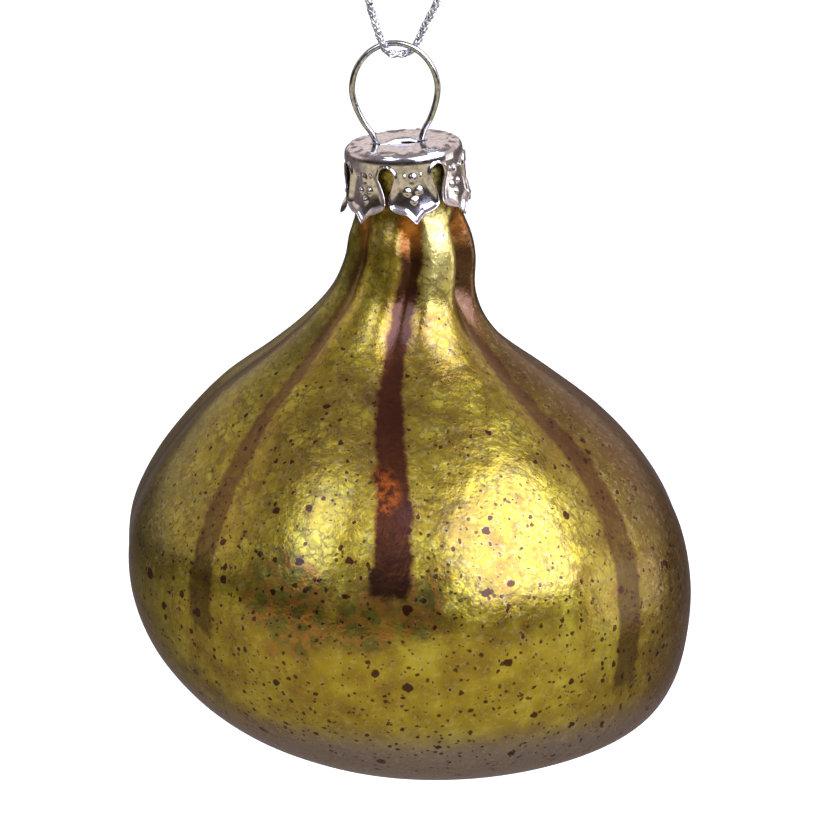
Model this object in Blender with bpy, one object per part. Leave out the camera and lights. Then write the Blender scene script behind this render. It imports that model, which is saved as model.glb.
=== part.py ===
"""Blown-glass hanging ornament in the form of a garlic bulb.

A fluted, slightly lopsided glass shell with an open neck, a stamped crown cap over the neck, a sprung
wire hanger through the cap, and a loop of metallic cord closed by an overhand knot. Lengths below are
in millimetres unless a name says otherwise. The origin is where the cord loop hangs on its hook, +Z is
up, and -Y is the front.
"""

import math

import bmesh
import bpy
from mathutils import Vector

MM = 0.001

# Driving dimensions of the glass.
GLASS_WALL = 1.0
SEGMENTS_ROUND = 48

# Outline of the bulb: radius, height above the base, and how far the section's middle leans to the
# right. The bulb was blown by hand, so its belly sags to the right and its neck leans to the left.
OUTLINE = (
    (0.0, 0.0, 1.0),
    (7.2, 0.6, 1.4),
    (14.5, 2.35, 2.4),
    (21.0, 4.45, 3.4),
    (27.0, 7.6, 3.4),
    (31.1, 11.8, 2.4),
    (34.2, 17.7, 1.0),
    (35.85, 24.7, -0.05),
    (35.35, 31.7, -0.75),
    (32.4, 38.0, -1.15),
    (27.95, 43.7, -1.55),
    (22.25, 49.0, -2.3),
    (16.3, 53.5, -2.3),
    (11.9, 57.6, -1.9),
    (9.3, 61.7, -1.0),
    (8.4, 66.1, -0.1),
    (7.8, 69.2, -0.1),
    (6.6, 72.2, -0.2),
    (6.3, 75.6, -0.45),
    (6.3, 78.6, -0.65),
)

# Grooves between the lobes: their place at the belly and at the neck, in degrees from the front
# towards the right, and their depth. One groove is a deep crease where two lobes part at the neck.
GROOVES = ((-46, -53), (-5, 2), (50, 62), (94, 106), (139, 148), (184, 188), (228, 226), (272, 266))
GROOVE_WIDTH = 12
FLUTE_DEPTH = 1.1
CREASE = (50, 62)
CREASE_DEPTH = 1.2

# Heights between which the flutes deepen, the crease deepens, the grooves swing from their place at
# the belly to the one at the neck, and everything fades out under the cap.
FLUTE_RISE = (7.0, 33.0)
CREASE_RISE = (55.0, 65.0)
GROOVE_SWING = (28.0, 60.0)
UNDER_CAP = (69.5, 72.6)

# Crown cap: radius and height of its wall below the flat top, and the petals of its skirt.
CAP_TOP = 80.5
CAP_SHIFT = -0.9
CAP_LEAN = math.radians(-4)
CAP_WALL = 0.3
CAP_OUTLINE = (
    (0.0, 0.0),
    (1.3, 0.0),
    (2.6, 0.0),
    (4.0, 0.0),
    (5.7, 0.0),
    (6.85, -0.2),
    (7.3, -0.9),
    (7.35, -3.0),
    (7.4, -4.8),
    (7.65, -6.6),
    (8.1, -8.5),
)
PETALS = 7
PETAL_FIRST = 8
PETAL_ROUNDNESS = 0.6
CAP_SEGMENTS = 8 * PETALS
SKIRT_TOP = -3.0
PETAL_GAP = 0.45
BRIDGE_RISE = 0.8
BRIDGE_WIDTH = 1.2
BRIDGE_ENDS = (0.8, 2.2)

# Wire hanger: half width and height of its loop above the cap, and the route of a leg below it.
WIRE_RADIUS = 0.375
WIRE_SHIFT = -0.5
LOOP_HALF_WIDTH = 5.28
LOOP_RISE = 5.9
LOOP_WAIST = 6.6
LEG = ((4.95, 4.8), (4.15, 2.8), (3.2, 1.2), (2.8, -0.5), (3.0, -4.0), (3.5, -8.5), (4.1, -13.0), (4.8, -17.5))
LEG_HOLE_RADIUS = 0.75
LEG_HOLE_REACH = 2.85
LEG_HOLE_DEPTH = 4.0

# Cord: from the knot down the left strand, through the wire loop, and up the right strand.
CORD_RADIUS = 0.475
CORD_ROUTE = (
    (-0.35, -0.2, 112.9),
    (-2.0, -0.4, 109.5),
    (-4.4, -0.7, 105.6),
    (-5.45, -0.9, 101.9),
    (-5.0, -1.1, 98.3),
    (-4.15, -1.2, 95.3),
    (-3.45, -1.25, 93.3),
    (-2.65, -0.95, 91.95),
    (-1.3, 0.0, 91.55),
    (0.05, 1.0, 91.7),
    (1.0, 1.25, 93.0),
    (2.05, 1.2, 95.3),
    (3.5, 1.0, 98.3),
    (4.7, 0.8, 101.9),
    (4.7, 0.5, 105.6),
    (2.9, 0.3, 109.5),
    (0.95, 0.2, 112.9),
)
KNOT = Vector((0.3, 0.0, 115.2))
KNOT_SIZE = Vector((1.7, 1.45, 1.9))
TAIL_LENGTH = 5.0
TAIL_SPREAD = 14
TAIL_START = Vector((1.0, 0.0, 0.9))

# How finely the outline and the bent wire and cord are followed, and the angle that stays sharp.
OUTLINE_STEPS = 2
BEND_STEPS = 3
SHARP_ANGLE = math.radians(40)

# The hook's place on the cord loop, which is the origin: inside the loop, just under the knot.
HOOK = Vector((0.3, 0.0, 111.3))


def clear_scene():
    for old in list(bpy.data.objects):
        bpy.data.objects.remove(old, do_unlink=True)


def ramp(value, start, end):
    """A smooth step from 0 at start to 1 at end."""
    t = min(max((value - start) / (end - start), 0.0), 1.0)
    return t * t * (3 - 2 * t)


def smooth_path(points, steps):
    """Points along one smooth curve through the given points, with steps to each stretch."""
    route = [Vector(p) for p in points]
    ends = [2 * route[0] - route[1]] + route + [2 * route[-1] - route[-2]]
    path = []
    for a, b, c, d in zip(ends, ends[1:], ends[2:], ends[3:]):
        for step in range(steps):
            t = step / steps
            bend = (2 * a - 5 * b + 4 * c - d) * t * t + (3 * b - a - 3 * c + d) * t ** 3
            path.append((2 * b + (c - a) * t + bend) / 2)
    path.append(route[-1])
    return path


def metal_or_glass(name, colour, metallic, roughness):
    material = bpy.data.materials.new(name)
    material.use_nodes = True
    shader = material.node_tree.nodes["Principled BSDF"]
    shader.inputs["Base Color"].default_value = (*colour, 1.0)
    shader.inputs["Metallic"].default_value = metallic
    shader.inputs["Roughness"].default_value = roughness
    return material


def add_object(name, data, parent, material):
    piece = bpy.data.objects.new(name, data)
    bpy.context.scene.collection.objects.link(piece)
    piece.parent = parent
    if material:
        data.materials.append(material)
    return piece


def add_empty(name, parent, location):
    frame = bpy.data.objects.new(name, None)
    bpy.context.scene.collection.objects.link(frame)
    frame.parent = parent
    frame.location = Vector(location) * MM
    return frame


def smooth_shaded(mesh):
    mesh.shade_smooth()
    mesh.set_sharp_from_angle(angle=SHARP_ANGLE)
    return mesh


def skinned_rings(name, rings):
    """A mesh through rings of points, in millimetres. The first ring is one point, a pole."""
    shape = bmesh.new()
    loops = [[shape.verts.new(point * MM) for point in ring] for ring in rings]
    pole = loops[0][0]
    around = len(loops[1])
    for i in range(around):
        shape.faces.new((pole, loops[1][i], loops[1][(i + 1) % around]))
    for low, high in zip(loops[1:], loops[2:]):
        for i in range(around):
            j = (i + 1) % around
            shape.faces.new((low[i], high[i], high[j], low[j]))
    bmesh.ops.recalc_face_normals(shape, faces=shape.faces)
    mesh = bpy.data.meshes.new(name)
    shape.to_mesh(mesh)
    shape.free()
    return smooth_shaded(mesh)


def face_outwards(mesh, up):
    """Turns an open shell so that its pole face points up or down, as asked."""
    if (mesh.polygons[0].normal.z > 0) != up:
        mesh.flip_normals()


def add_wall(piece, thickness):
    """Gives an open shell its wall, on the inside."""
    wall = piece.modifiers.new("wall", "SOLIDIFY")
    wall.thickness = thickness * MM
    wall.offset = -1.0


def groove_cut(angle, height):
    """How far the grooves between the lobes draw the glass in, at an angle and a height."""
    below_cap = 1 - ramp(height, *UNDER_CAP)
    depth = FLUTE_DEPTH * ramp(height, *FLUTE_RISE) * below_cap
    crease = CREASE_DEPTH * ramp(height, *CREASE_RISE) * below_cap
    cut = 0.0
    for groove in GROOVES:
        belly, neck = groove
        middle = belly + (neck - belly) * ramp(height, *GROOVE_SWING)
        away = (angle - middle + 180) % 360 - 180
        cut += (depth + crease * (groove == CREASE)) * math.exp(-((away / GROOVE_WIDTH) ** 2))
    return cut


def glass_ring(radius, height, lean):
    if radius == 0:
        return [Vector((lean, 0, height))]
    ring = []
    for i in range(SEGMENTS_ROUND):
        angle = 360 * i / SEGMENTS_ROUND
        r = radius - groove_cut(angle, height)
        turn = math.radians(angle)
        ring.append(Vector((lean + r * math.sin(turn), -r * math.cos(turn), height)))
    return ring


def make_glass_bulb(parent):
    sections = smooth_path(OUTLINE, OUTLINE_STEPS)
    mesh = skinned_rings("glass_bulb", [glass_ring(*section) for section in sections])
    face_outwards(mesh, up=False)
    material = metal_or_glass("silvered_glass_olive_gold", (0.22, 0.16, 0.03), 0.6, 0.2)
    bulb = add_object("glass_bulb", mesh, parent, material)
    add_wall(bulb, GLASS_WALL)
    return bulb


def cap_ring(radius, height):
    if radius == 0:
        return [Vector((0, 0, BRIDGE_RISE))]
    ring = []
    for i in range(CAP_SEGMENTS):
        angle = 360 * i / CAP_SEGMENTS + PETAL_FIRST
        turn = math.radians(angle)
        x, y = radius * math.sin(turn), -radius * math.cos(turn)
        petal = abs(math.cos(math.radians(PETALS * (angle - PETAL_FIRST) / 2))) ** PETAL_ROUNDNESS
        drop = min(height - SKIRT_TOP, 0) * (PETAL_GAP + (1 - PETAL_GAP) * petal)
        ends = 1 - ramp(abs(x - WIRE_SHIFT), *BRIDGE_ENDS)
        rise = BRIDGE_RISE * math.exp(-((y / BRIDGE_WIDTH) ** 2)) * ends
        ring.append(Vector((x, y, max(height, SKIRT_TOP) + drop + rise)))
    return ring


def make_leg_hole(parent, side):
    """A guide that cuts the hole for one leg of the wire through the cap's top."""
    shape = bmesh.new()
    bmesh.ops.create_cone(shape, cap_ends=True, segments=16, depth=LEG_HOLE_DEPTH * MM,
                          radius1=LEG_HOLE_RADIUS * MM, radius2=LEG_HOLE_RADIUS * MM)
    mesh = bpy.data.meshes.new("leg_hole")
    shape.to_mesh(mesh)
    shape.free()
    hole = add_object("leg_hole_guide", mesh, parent, None)
    hole.location = Vector((WIRE_SHIFT + side * LEG_HOLE_REACH, 0, 0)) * MM
    hole.hide_render = True
    hole.display_type = "WIRE"
    return hole


def make_crown_cap(parent):
    mesh = skinned_rings("crown_cap", [cap_ring(*section) for section in CAP_OUTLINE])
    face_outwards(mesh, up=True)
    material = metal_or_glass("stamped_tin_silver", (0.75, 0.72, 0.70), 1.0, 0.2)
    cap = add_object("crown_cap", mesh, parent, material)
    add_wall(cap, CAP_WALL)
    for side in (-1, 1):
        cut = cap.modifiers.new("leg_hole", "BOOLEAN")
        cut.operation = "DIFFERENCE"
        cut.solver = "EXACT"
        cut.object = make_leg_hole(parent, side)
    return cap


def add_round_bar(name, path, radius, sides, parent, material):
    """A round bar or cord along a path: a curve with a round bevel and filled ends."""
    curve = bpy.data.curves.new(name, "CURVE")
    curve.dimensions = "3D"
    curve.bevel_depth = radius * MM
    curve.bevel_resolution = sides
    curve.use_fill_caps = True
    spline = curve.splines.new("POLY")
    spline.points.add(len(path) - 1)
    for point, place in zip(spline.points, path):
        point.co = (*(place * MM), 1.0)
    spline.use_smooth = True
    return add_object(name, curve, parent, material)


def make_wire_hanger(parent):
    """One wire: up a leg, round the loop's half-ellipse top, and down the other leg."""
    top = []
    for step in range(9):
        turn = math.pi * step / 8
        top.append(Vector((LOOP_HALF_WIDTH * math.cos(turn), 0, LOOP_WAIST + LOOP_RISE * math.sin(turn))))
    right_leg = [Vector((x, 0, z)) for x, z in reversed(LEG)]
    left_leg = [Vector((-x, 0, z)) for x, z in LEG]
    shift = Vector((WIRE_SHIFT, 0, 0))
    path = [point + shift for point in smooth_path(right_leg + top + left_leg, BEND_STEPS)]
    material = metal_or_glass("drawn_steel_wire", (0.55, 0.54, 0.52), 1.0, 0.18)
    return add_round_bar("wire_hanger", path, WIRE_RADIUS, 3, parent, material)


def make_hanging_cord(parent, material):
    path = smooth_path(CORD_ROUTE, BEND_STEPS)
    return add_round_bar("hanging_cord", path, CORD_RADIUS, 2, parent, material)


def make_tail_guide(parent, side):
    """A guide that adds one trimmed end of the cord to the knot."""
    shape = bmesh.new()
    bmesh.ops.create_cone(shape, cap_ends=True, segments=8, depth=TAIL_LENGTH * MM,
                          radius1=CORD_RADIUS * MM, radius2=CORD_RADIUS * MM)
    mesh = bpy.data.meshes.new("cord_tail")
    shape.to_mesh(mesh)
    shape.free()
    tail = add_object("cord_tail_guide", mesh, parent, None)
    tail.rotation_euler = (0, math.radians(side * TAIL_SPREAD), 0)
    tail.location = (KNOT + Vector((side * TAIL_START.x, 0, TAIL_START.z + TAIL_LENGTH / 2))) * MM
    tail.hide_render = True
    tail.display_type = "WIRE"
    return tail


def make_cord_knot(parent, material):
    shape = bmesh.new()
    bmesh.ops.create_uvsphere(shape, u_segments=16, v_segments=10, radius=1.0)
    bmesh.ops.scale(shape, vec=KNOT_SIZE * MM, verts=shape.verts)
    bmesh.ops.translate(shape, vec=KNOT * MM, verts=shape.verts)
    mesh = bpy.data.meshes.new("cord_knot")
    shape.to_mesh(mesh)
    shape.free()
    knot = add_object("cord_knot", smooth_shaded(mesh), parent, material)
    for side in (-1, 1):
        join = knot.modifiers.new("tail", "BOOLEAN")
        join.operation = "UNION"
        join.solver = "EXACT"
        join.object = make_tail_guide(parent, side)
    return knot


def main():
    clear_scene()
    ornament = add_empty("ornament", None, -HOOK)
    crown = add_empty("crown", ornament, (CAP_SHIFT, 0, CAP_TOP))
    crown.rotation_euler = (0, CAP_LEAN, 0)
    make_glass_bulb(ornament)
    make_crown_cap(crown)
    make_wire_hanger(crown)
    cord_material = metal_or_glass("metallic_cord_silver", (0.6, 0.6, 0.6), 1.0, 0.3)
    make_hanging_cord(ornament, cord_material)
    make_cord_knot(ornament, cord_material)


main()
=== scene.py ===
# %% [markdown]
# # A blown-glass ornament in the form of a garlic bulb
# The object is a fluted bulb of thin glass, silvered inside and lacquered olive gold, with a stamped
# crown cap, a wire loop and a silver cord. The construction solids are loaded first and stay where
# they are. Each finished piece is then made around them, in metres, in the same frame.

# %% Load the construction and keep its box
import math

import bmesh
import bpy
import numpy as np
from mathutils import Matrix, Vector


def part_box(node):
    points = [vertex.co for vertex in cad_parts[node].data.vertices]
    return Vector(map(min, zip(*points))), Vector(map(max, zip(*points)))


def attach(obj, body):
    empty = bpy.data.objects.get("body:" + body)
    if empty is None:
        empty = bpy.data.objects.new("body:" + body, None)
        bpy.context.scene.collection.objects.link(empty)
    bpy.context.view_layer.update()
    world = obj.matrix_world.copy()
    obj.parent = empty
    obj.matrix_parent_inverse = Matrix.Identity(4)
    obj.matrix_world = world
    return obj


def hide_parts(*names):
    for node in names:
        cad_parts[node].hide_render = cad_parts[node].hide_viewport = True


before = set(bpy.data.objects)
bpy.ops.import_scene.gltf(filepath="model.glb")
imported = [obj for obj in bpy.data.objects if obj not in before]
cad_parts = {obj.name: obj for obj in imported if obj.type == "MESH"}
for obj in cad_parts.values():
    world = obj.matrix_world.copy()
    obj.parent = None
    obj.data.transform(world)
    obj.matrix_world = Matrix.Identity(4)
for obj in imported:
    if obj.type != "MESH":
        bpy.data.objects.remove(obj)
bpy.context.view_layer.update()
MM = 0.001
DEGREE = math.radians(1)
HALF_TURN = 180.0
print("construction nodes:", sorted(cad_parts))

# %% [markdown]
# ## The places everything is measured from
# The origin is where the cord hangs on its hook. The bulb was designed from its base upwards, so one
# vector carries a design height to its place below the hook. The crown cap sits on the neck with a
# small lean to the left, so it has a frame of its own: a turn and a shift.

# %% Reference places
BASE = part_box("glass_bulb")[0].z
HOOK_SIDE = -0.3 * MM
DESIGN_TO_WORLD = Matrix.Translation((HOOK_SIDE, 0, BASE))
CAP_TOP = Vector((-0.9, 0, 80.5)) * MM
CAP_LEAN = math.radians(-4)
CROWN = DESIGN_TO_WORLD @ Matrix.Translation(CAP_TOP) @ Matrix.Rotation(CAP_LEAN, 4, "Y")
print("base of the bulb at", round(BASE / MM, 1), "mm")


# %% [markdown]
# ## Small helpers
# Colours are written as the hex values a painter would pick on screen, and one function turns them
# linear. One function adds any node, with its settings and links, and a few settings that come up again
# and again have a name. A smooth path through a few chosen points is used for the outline of the bulb,
# for the wire and for the cord.

# %% Helpers for colours, nodes and paths
def linear(hex_colour):
    """A screen colour such as "#8A7A33" as linear light, with full alpha."""
    parts = [int(hex_colour[i:i + 2], 16) / 255 for i in (1, 3, 5)]
    return (*[c / 12.92 if c <= 0.04045 else ((c + 0.055) / 1.055) ** 2.4 for c in parts], 1.0)


def add_node(tree, kind, settings=None, links=()):
    """Adds a node. links feeds its inputs, by name in a dictionary or in their order in a tuple."""
    node = tree.nodes.new(kind)
    for name, value in (settings or {}).items():
        if name == "stops":
            set_stops(node.color_ramp.elements, value)
        else:
            setattr(node, name, value)
    for name, value in (links if isinstance(links, dict) else dict(enumerate(links))).items():
        if isinstance(value, bpy.types.NodeSocket):
            tree.links.new(value, node.inputs[name])
        else:
            node.inputs[name].default_value = value
    return node


def set_stops(elements, stops):
    """Gives a row of colours its positions, from 0 to 1, and its hex values."""
    while len(elements) < len(stops):
        elements.new(0.5)
    for element, (position, colour) in zip(elements, stops):
        element.position = position
        element.color = linear(colour)


# Kinds of node with their setting. SOFT_RISE takes a value, the range it runs over, and its two ends.
ADD = ("ShaderNodeMath", {"operation": "ADD"})
SUBTRACT = ("ShaderNodeMath", {"operation": "SUBTRACT"})
MULTIPLY = ("ShaderNodeMath", {"operation": "MULTIPLY"})
MULTIPLY_ADD = ("ShaderNodeMath", {"operation": "MULTIPLY_ADD"})
DIVIDE = ("ShaderNodeMath", {"operation": "DIVIDE"})
MAXIMUM = ("ShaderNodeMath", {"operation": "MAXIMUM"})
SOFT_RISE = ("ShaderNodeMapRange", {"interpolation_type": "SMOOTHSTEP"})
MIX = ("ShaderNodeMix", {"data_type": "RGBA"})


def away_from(tree, angle, middle):
    """How many degrees an angle is from a middle one, without its sign, the shorter way round."""
    apart = add_node(tree, *SUBTRACT, (angle, middle)).outputs[0]
    apart = add_node(tree, "ShaderNodeMath", {"operation": "WRAP"},
                     (apart, HALF_TURN, -HALF_TURN)).outputs[0]
    return add_node(tree, "ShaderNodeMath", {"operation": "ABSOLUTE"}, (apart,)).outputs[0]


def smooth_path(points, steps):
    """Points along one smooth curve through the given points, with steps to each stretch."""
    route = [Vector(p) for p in points]
    ends = [2 * route[0] - route[1]] + route + [2 * route[-1] - route[-2]]
    path = []
    for a, b, c, d in zip(ends, ends[1:], ends[2:], ends[3:]):
        for step in range(steps):
            t = step / steps
            bend = (2 * a - 5 * b + 4 * c - d) * t * t + (3 * b - a - 3 * c + d) * t ** 3
            path.append((2 * b + (c - a) * t + bend) / 2)
    path.append(route[-1])
    return path


# %% [markdown]
# ## Helpers for Geometry Nodes and materials
# A tree gets named inputs for its sizes. A modifier's inputs are set by the identifier of the socket,
# before the object is first evaluated. The result is then turned into a plain mesh, and the object
# that carried the modifier is removed. Every finish starts from a new material with its own shader.

# %% Helpers for trees, plain meshes and materials
def new_tree(name, sizes):
    """A geometry tree with a geometry input and output, and the named sizes with their defaults."""
    tree = bpy.data.node_groups.new(name, "GeometryNodeTree")
    tree.interface.new_socket("Geometry", in_out="INPUT", socket_type="NodeSocketGeometry")
    tree.interface.new_socket("Geometry", in_out="OUTPUT", socket_type="NodeSocketGeometry")
    for size, value in sizes.items():
        kind = "NodeSocketInt" if isinstance(value, int) else "NodeSocketFloat"
        tree.interface.new_socket(size, in_out="INPUT", socket_type=kind)
    return tree, add_node(tree, "NodeGroupInput").outputs, add_node(tree, "NodeGroupOutput").inputs[0]


def finish_tree(tree, shape, material, result):
    """The end of every tree: smooth shading, real geometry and the material."""
    smooth = add_node(tree, "GeometryNodeSetShadeSmooth", {}, (shape,)).outputs[0]
    real = add_node(tree, "GeometryNodeRealizeInstances", {}, (smooth,)).outputs[0]
    done = add_node(tree, "GeometryNodeSetMaterial", {}, {0: real, "Material": material}).outputs[0]
    tree.links.new(done, result)
    return tree


def add_tree(holder, tree, sizes):
    """Puts the tree on an object as a modifier, and sets its sizes by identifier."""
    modifier = holder.modifiers.new(tree.name, "NODES")
    modifier.node_group = tree
    for item in tree.interface.items_tree:
        if item.name in sizes:
            modifier[item.identifier] = sizes[item.name]


def add_mesh_object(name, points, edges=(), faces=()):
    """A new object in the scene with a mesh of these points, edges and faces."""
    mesh = bpy.data.meshes.new(name)
    mesh.from_pydata([tuple(p) for p in points], edges, faces)
    holder = bpy.data.objects.new(name, mesh)
    bpy.context.scene.collection.objects.link(holder)
    return holder


def add_polyline(name, points):
    """A line of edges through the points, which a tree can read as a curve."""
    return add_mesh_object(name, points, [(i, i + 1) for i in range(len(points) - 1)])


def plain_mesh(holder, name):
    """The evaluated object as a plain mesh piece at the origin. The holder is removed."""
    depsgraph = bpy.context.evaluated_depsgraph_get()
    mesh = bpy.data.meshes.new_from_object(
        holder.evaluated_get(depsgraph), preserve_all_data_layers=True, depsgraph=depsgraph)
    bpy.data.objects.remove(holder)
    piece = bpy.data.objects.new(name, mesh)
    mesh.name = name
    bpy.context.scene.collection.objects.link(piece)
    print(name, "has", len(mesh.polygons), "faces")
    return piece


def finish_piece(piece, node):
    """Hangs the piece on the root body and hides the construction node it stands for."""
    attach(piece, "root")
    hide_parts(node)
    return piece


def new_material(name):
    """A material with its tree and its shader, ready for its patterns."""
    material = bpy.data.materials.new(name)
    material.use_nodes = True
    return material, material.node_tree, material.node_tree.nodes["Principled BSDF"]


# %% [markdown]
# ## The camera
# A long lens from about 0.8 m keeps the bulb's outline nearly free of perspective. It looks down by
# 16 degrees, so that the cap's top shows as a thin ellipse.

# %% Camera
VIEW_DISTANCE = 0.8
VIEW_TILT = math.radians(16)
VIEW_WIDTH = 0.1025
SENSOR = 36.0
AIM_HEIGHT = 46.0 * MM
AIM = DESIGN_TO_WORLD @ Vector((0, 0, AIM_HEIGHT))

camera_data = bpy.data.cameras.new("camera")
camera_data.sensor_width = SENSOR
camera_data.lens = SENSOR * VIEW_DISTANCE / VIEW_WIDTH
camera_data.clip_start = 0.01
camera = bpy.data.objects.new("camera", camera_data)
camera.location = AIM + VIEW_DISTANCE * Vector((0, -math.cos(VIEW_TILT), math.sin(VIEW_TILT)))
camera.rotation_euler = (math.pi / 2 - VIEW_TILT, 0, 0)
bpy.context.scene.collection.objects.link(camera)
bpy.context.scene.camera = camera
print("lens", round(camera_data.lens), "mm")

# %% [markdown]
# ## The cord
# The cord is one braided silver thread, just under a millimetre thick. It comes down in front of the
# wire loop, passes through it, and goes up behind it. Both ends meet in an overhand knot above. The
# route is listed point by point, and the braid follows it: eight threads, half of them winding each way,
# that pass over and under each other round a core.

# %% Cord route and finish
CORD_DIAMETER = 0.95 * MM
CORD_ROUTE = (
    (-0.35, -0.2, 112.9),
    (-2.0, -0.4, 109.5),
    (-4.4, -0.7, 105.6),
    (-5.45, -0.9, 101.9),
    (-5.0, -1.1, 98.3),
    (-4.15, -1.2, 95.3),
    (-3.45, -1.25, 93.3),
    (-2.65, -0.95, 91.95),
    (-1.3, 0.0, 91.55),
    (0.05, 1.0, 91.7),
    (1.0, 1.25, 93.0),
    (2.05, 1.2, 95.3),
    (3.5, 1.0, 98.3),
    (4.7, 0.8, 101.9),
    (4.7, 0.5, 105.6),
    (2.9, 0.3, 109.5),
    (0.95, 0.2, 112.9),
)
CURVE_STEPS = 8
cord_path = [DESIGN_TO_WORLD @ (p * MM) for p in smooth_path(CORD_ROUTE, CURVE_STEPS)]


THREAD_PATCH = 0.6 * MM


def silver_thread():
    """Flat metallised thread, braided: bright, with a slightly different shine on each turn."""
    material, tree, shader = new_material("braided_silver_lame_thread")
    place = add_node(tree, "ShaderNodeTexCoord").outputs["Object"]
    turns = add_node(tree, "ShaderNodeTexNoise", {},
                     {"Vector": place, "Scale": 1 / THREAD_PATCH, "Detail": 2.0}).outputs["Fac"]
    tone = add_node(tree, "ShaderNodeValToRGB", {"stops": ((0.35, "#8F9094"), (0.65, "#F2F1EF"))}, (turns,))
    tree.links.new(tone.outputs["Color"], shader.inputs["Base Color"])
    shader.inputs["Metallic"].default_value = 1.0
    shader.inputs["Roughness"].default_value = 0.22
    return material


SILVER_THREAD = silver_thread()


# %% Braid tree
THREADS_EACH_WAY = 4
THREAD_SIDES = 6
CORE_SIDES = 8
WEAVE_RISE = 0.45


def braid_tree(material):
    """Threads wound both ways round a path, passing over and under, and a core that fills the middle."""
    sizes = {"Radius": 0.0, "Thread": 0.0, "Turn Length": 0.0, "Points": 0}
    tree, given, result = new_tree("braid", sizes)
    path = add_node(tree, "GeometryNodeMeshToCurve", {}, {"Mesh": given["Geometry"]}).outputs[0]
    path = add_node(tree, "GeometryNodeResampleCurve", {"mode": "COUNT"},
                    {"Curve": path, "Count": given["Points"]}).outputs[0]
    along = add_node(tree, "GeometryNodeSplineParameter").outputs["Length"]
    tangent = add_node(tree, "GeometryNodeInputTangent").outputs[0]
    normal = add_node(tree, "GeometryNodeInputNormal").outputs[0]
    side = add_node(tree, "ShaderNodeVectorMath", {"operation": "CROSS_PRODUCT"},
                    (tangent, normal)).outputs[0]
    turns = add_node(tree, *DIVIDE, (along, given["Turn Length"])).outputs[0]
    wound = add_node(tree, *MULTIPLY, (turns, 2 * math.pi)).outputs[0]
    lines = []
    for thread in range(2 * THREADS_EACH_WAY):
        way = 1 if thread < THREADS_EACH_WAY else -1
        start = math.pi / 2 * thread + (0 if way > 0 else math.pi / 4)
        angle = add_node(tree, *MULTIPLY_ADD, (wound, way, start)).outputs[0]
        weave = add_node(tree, *MULTIPLY_ADD, (wound, THREADS_EACH_WAY, math.pi * thread)).outputs[0]
        weave = add_node(tree, "ShaderNodeMath", {"operation": "COSINE"}, (weave,)).outputs[0]
        rise = add_node(tree, *MULTIPLY, (given["Thread"], WEAVE_RISE * way)).outputs[0]
        reach = add_node(tree, *MULTIPLY_ADD, (weave, rise, given["Radius"])).outputs[0]
        arms = []
        for direction, part in ((normal, "COSINE"), (side, "SINE")):
            share = add_node(tree, "ShaderNodeMath", {"operation": part}, (angle,)).outputs[0]
            share = add_node(tree, *MULTIPLY, (share, reach)).outputs[0]
            arms.append(add_node(tree, "ShaderNodeVectorMath", {"operation": "SCALE"},
                                 {0: direction, "Scale": share}).outputs[0])
        offset = add_node(tree, "ShaderNodeVectorMath", {"operation": "ADD"}, arms).outputs[0]
        moved = add_node(tree, "GeometryNodeSetPosition", {},
                         {"Geometry": path, "Offset": offset}).outputs[0]
        lines.append((moved, THREAD_SIDES, given["Thread"]))
    lines.append((path, CORE_SIDES, given["Radius"]))
    joined = add_node(tree, "GeometryNodeJoinGeometry")
    for line, sides, radius in lines:
        profile = add_node(tree, "GeometryNodeCurvePrimitiveCircle", {"mode": "RADIUS"},
                           {"Resolution": sides, "Radius": radius}).outputs[0]
        tube = add_node(tree, "GeometryNodeCurveToMesh", {},
                        {"Curve": line, "Profile Curve": profile, "Fill Caps": True}).outputs[0]
        tree.links.new(tube, joined.inputs[0])
    return finish_tree(tree, joined.outputs[0], material, result)


BRAID = braid_tree(SILVER_THREAD)
THREAD_RADIUS = 0.13 * MM
# The threads' middles run in from the cord's surface by a little more than their own radius.
THREAD_INSET = 1.3 * THREAD_RADIUS
BRAID_RADIUS = CORD_DIAMETER / 2 - THREAD_INSET
BRAID_TURN = 3.2 * MM
POINTS_PER_TURN = 28


def braided(name, path):
    """A braided cord along a path of points in the frame."""
    length = sum((b - a).length for a, b in zip(path, path[1:]))
    holder = add_polyline(name, path)
    add_tree(holder, BRAID, {"Radius": BRAID_RADIUS, "Thread": THREAD_RADIUS, "Turn Length": BRAID_TURN,
                             "Points": int(length / BRAID_TURN * POINTS_PER_TURN)})
    return plain_mesh(holder, name)


cord = finish_piece(braided("braided_cord", cord_path), "hanging_cord")

# %% [markdown]
# ## The knot
# An overhand knot is tied in both ends of the cord at once. Its two strands lie side by side along one
# looped route, and the two trimmed ends stand up above it. The looped route is a trefoil, the shape
# that any overhand knot has, opened where the strands come in from below and leave upwards.

# %% Knot
KNOT_PLACE = DESIGN_TO_WORLD @ (Vector((0.3, 0, 115.2)) * MM)
KNOT_WIDTH = 0.62 * MM
KNOT_DEPTH = 0.8 * MM
KNOT_HEIGHT = 0.75 * MM
STRAND_GAP = 0.45 * MM
LOBE_REACH = 1.4
KNOT_OPENING = 20
KNOT_STEPS = 12
STRAND_STEPS = 6
STRAND_START = (0.5, 0.15, -2.3)
TAIL_POINTS = ((1.0, 0.3, 3.2), (1.6, 0.4, 5.8))


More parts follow.
